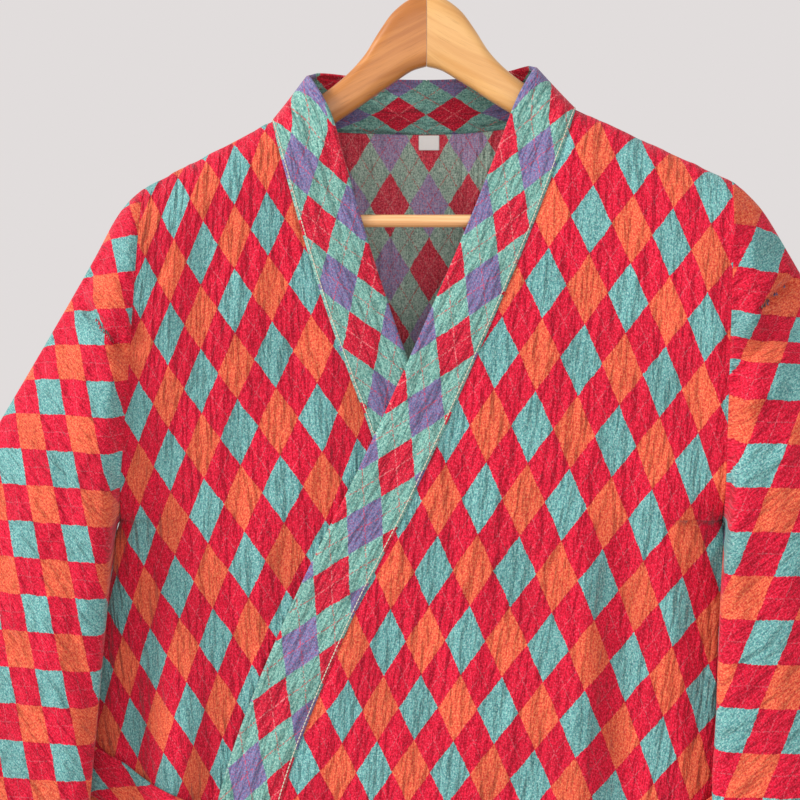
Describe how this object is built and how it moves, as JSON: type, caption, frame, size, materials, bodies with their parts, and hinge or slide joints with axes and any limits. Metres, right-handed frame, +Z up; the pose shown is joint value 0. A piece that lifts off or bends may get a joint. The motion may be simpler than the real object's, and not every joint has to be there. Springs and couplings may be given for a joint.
{
  "type": "kimono robe on a hanger",
  "caption": "wrap-front robe of diamond-patterned cloth with a neck band in the cloth's reverse, wide open sleeves and a tie belt, hung flat on a wooden hanger with a wire hook",
  "frame": {"origin": "the point inside the top of the hook that rests on a rail", "axes": "+Z up, +X to the wearer's left, the front faces -Y"},
  "size_m": [0.9938, 0.1232, 1.2786],
  "materials": {
    "cloth_face": "crinkled cotton, red ground with teal and orange diamonds",
    "cloth_reverse": "crinkled cotton, teal ground with red and violet diamonds",
    "tab": "matt white satin tape",
    "wood": "clear satin varnish",
    "steel": "polished wire"
  },
  "bodies": {
    "root": {"back": "cloth_face", "front_left": "cloth_face", "front_right": "cloth_face", "sleeve_left": "cloth_face", "sleeve_right": "cloth_face", "collar_left": "cloth_reverse", "collar_right": "cloth_reverse", "belt": "cloth_face", "belt_knot": "cloth_face", "belt_end_left": "cloth_face", "belt_end_right": "cloth_face", "belt_loop_left": "cloth_face", "belt_loop_right": "cloth_face", "size_tab": "tab", "hanger_arm_left": "wood", "hanger_arm_right": "wood", "hanger_bar": "wood", "hanger_hook": "steel"}
  },
  "joints": []
}
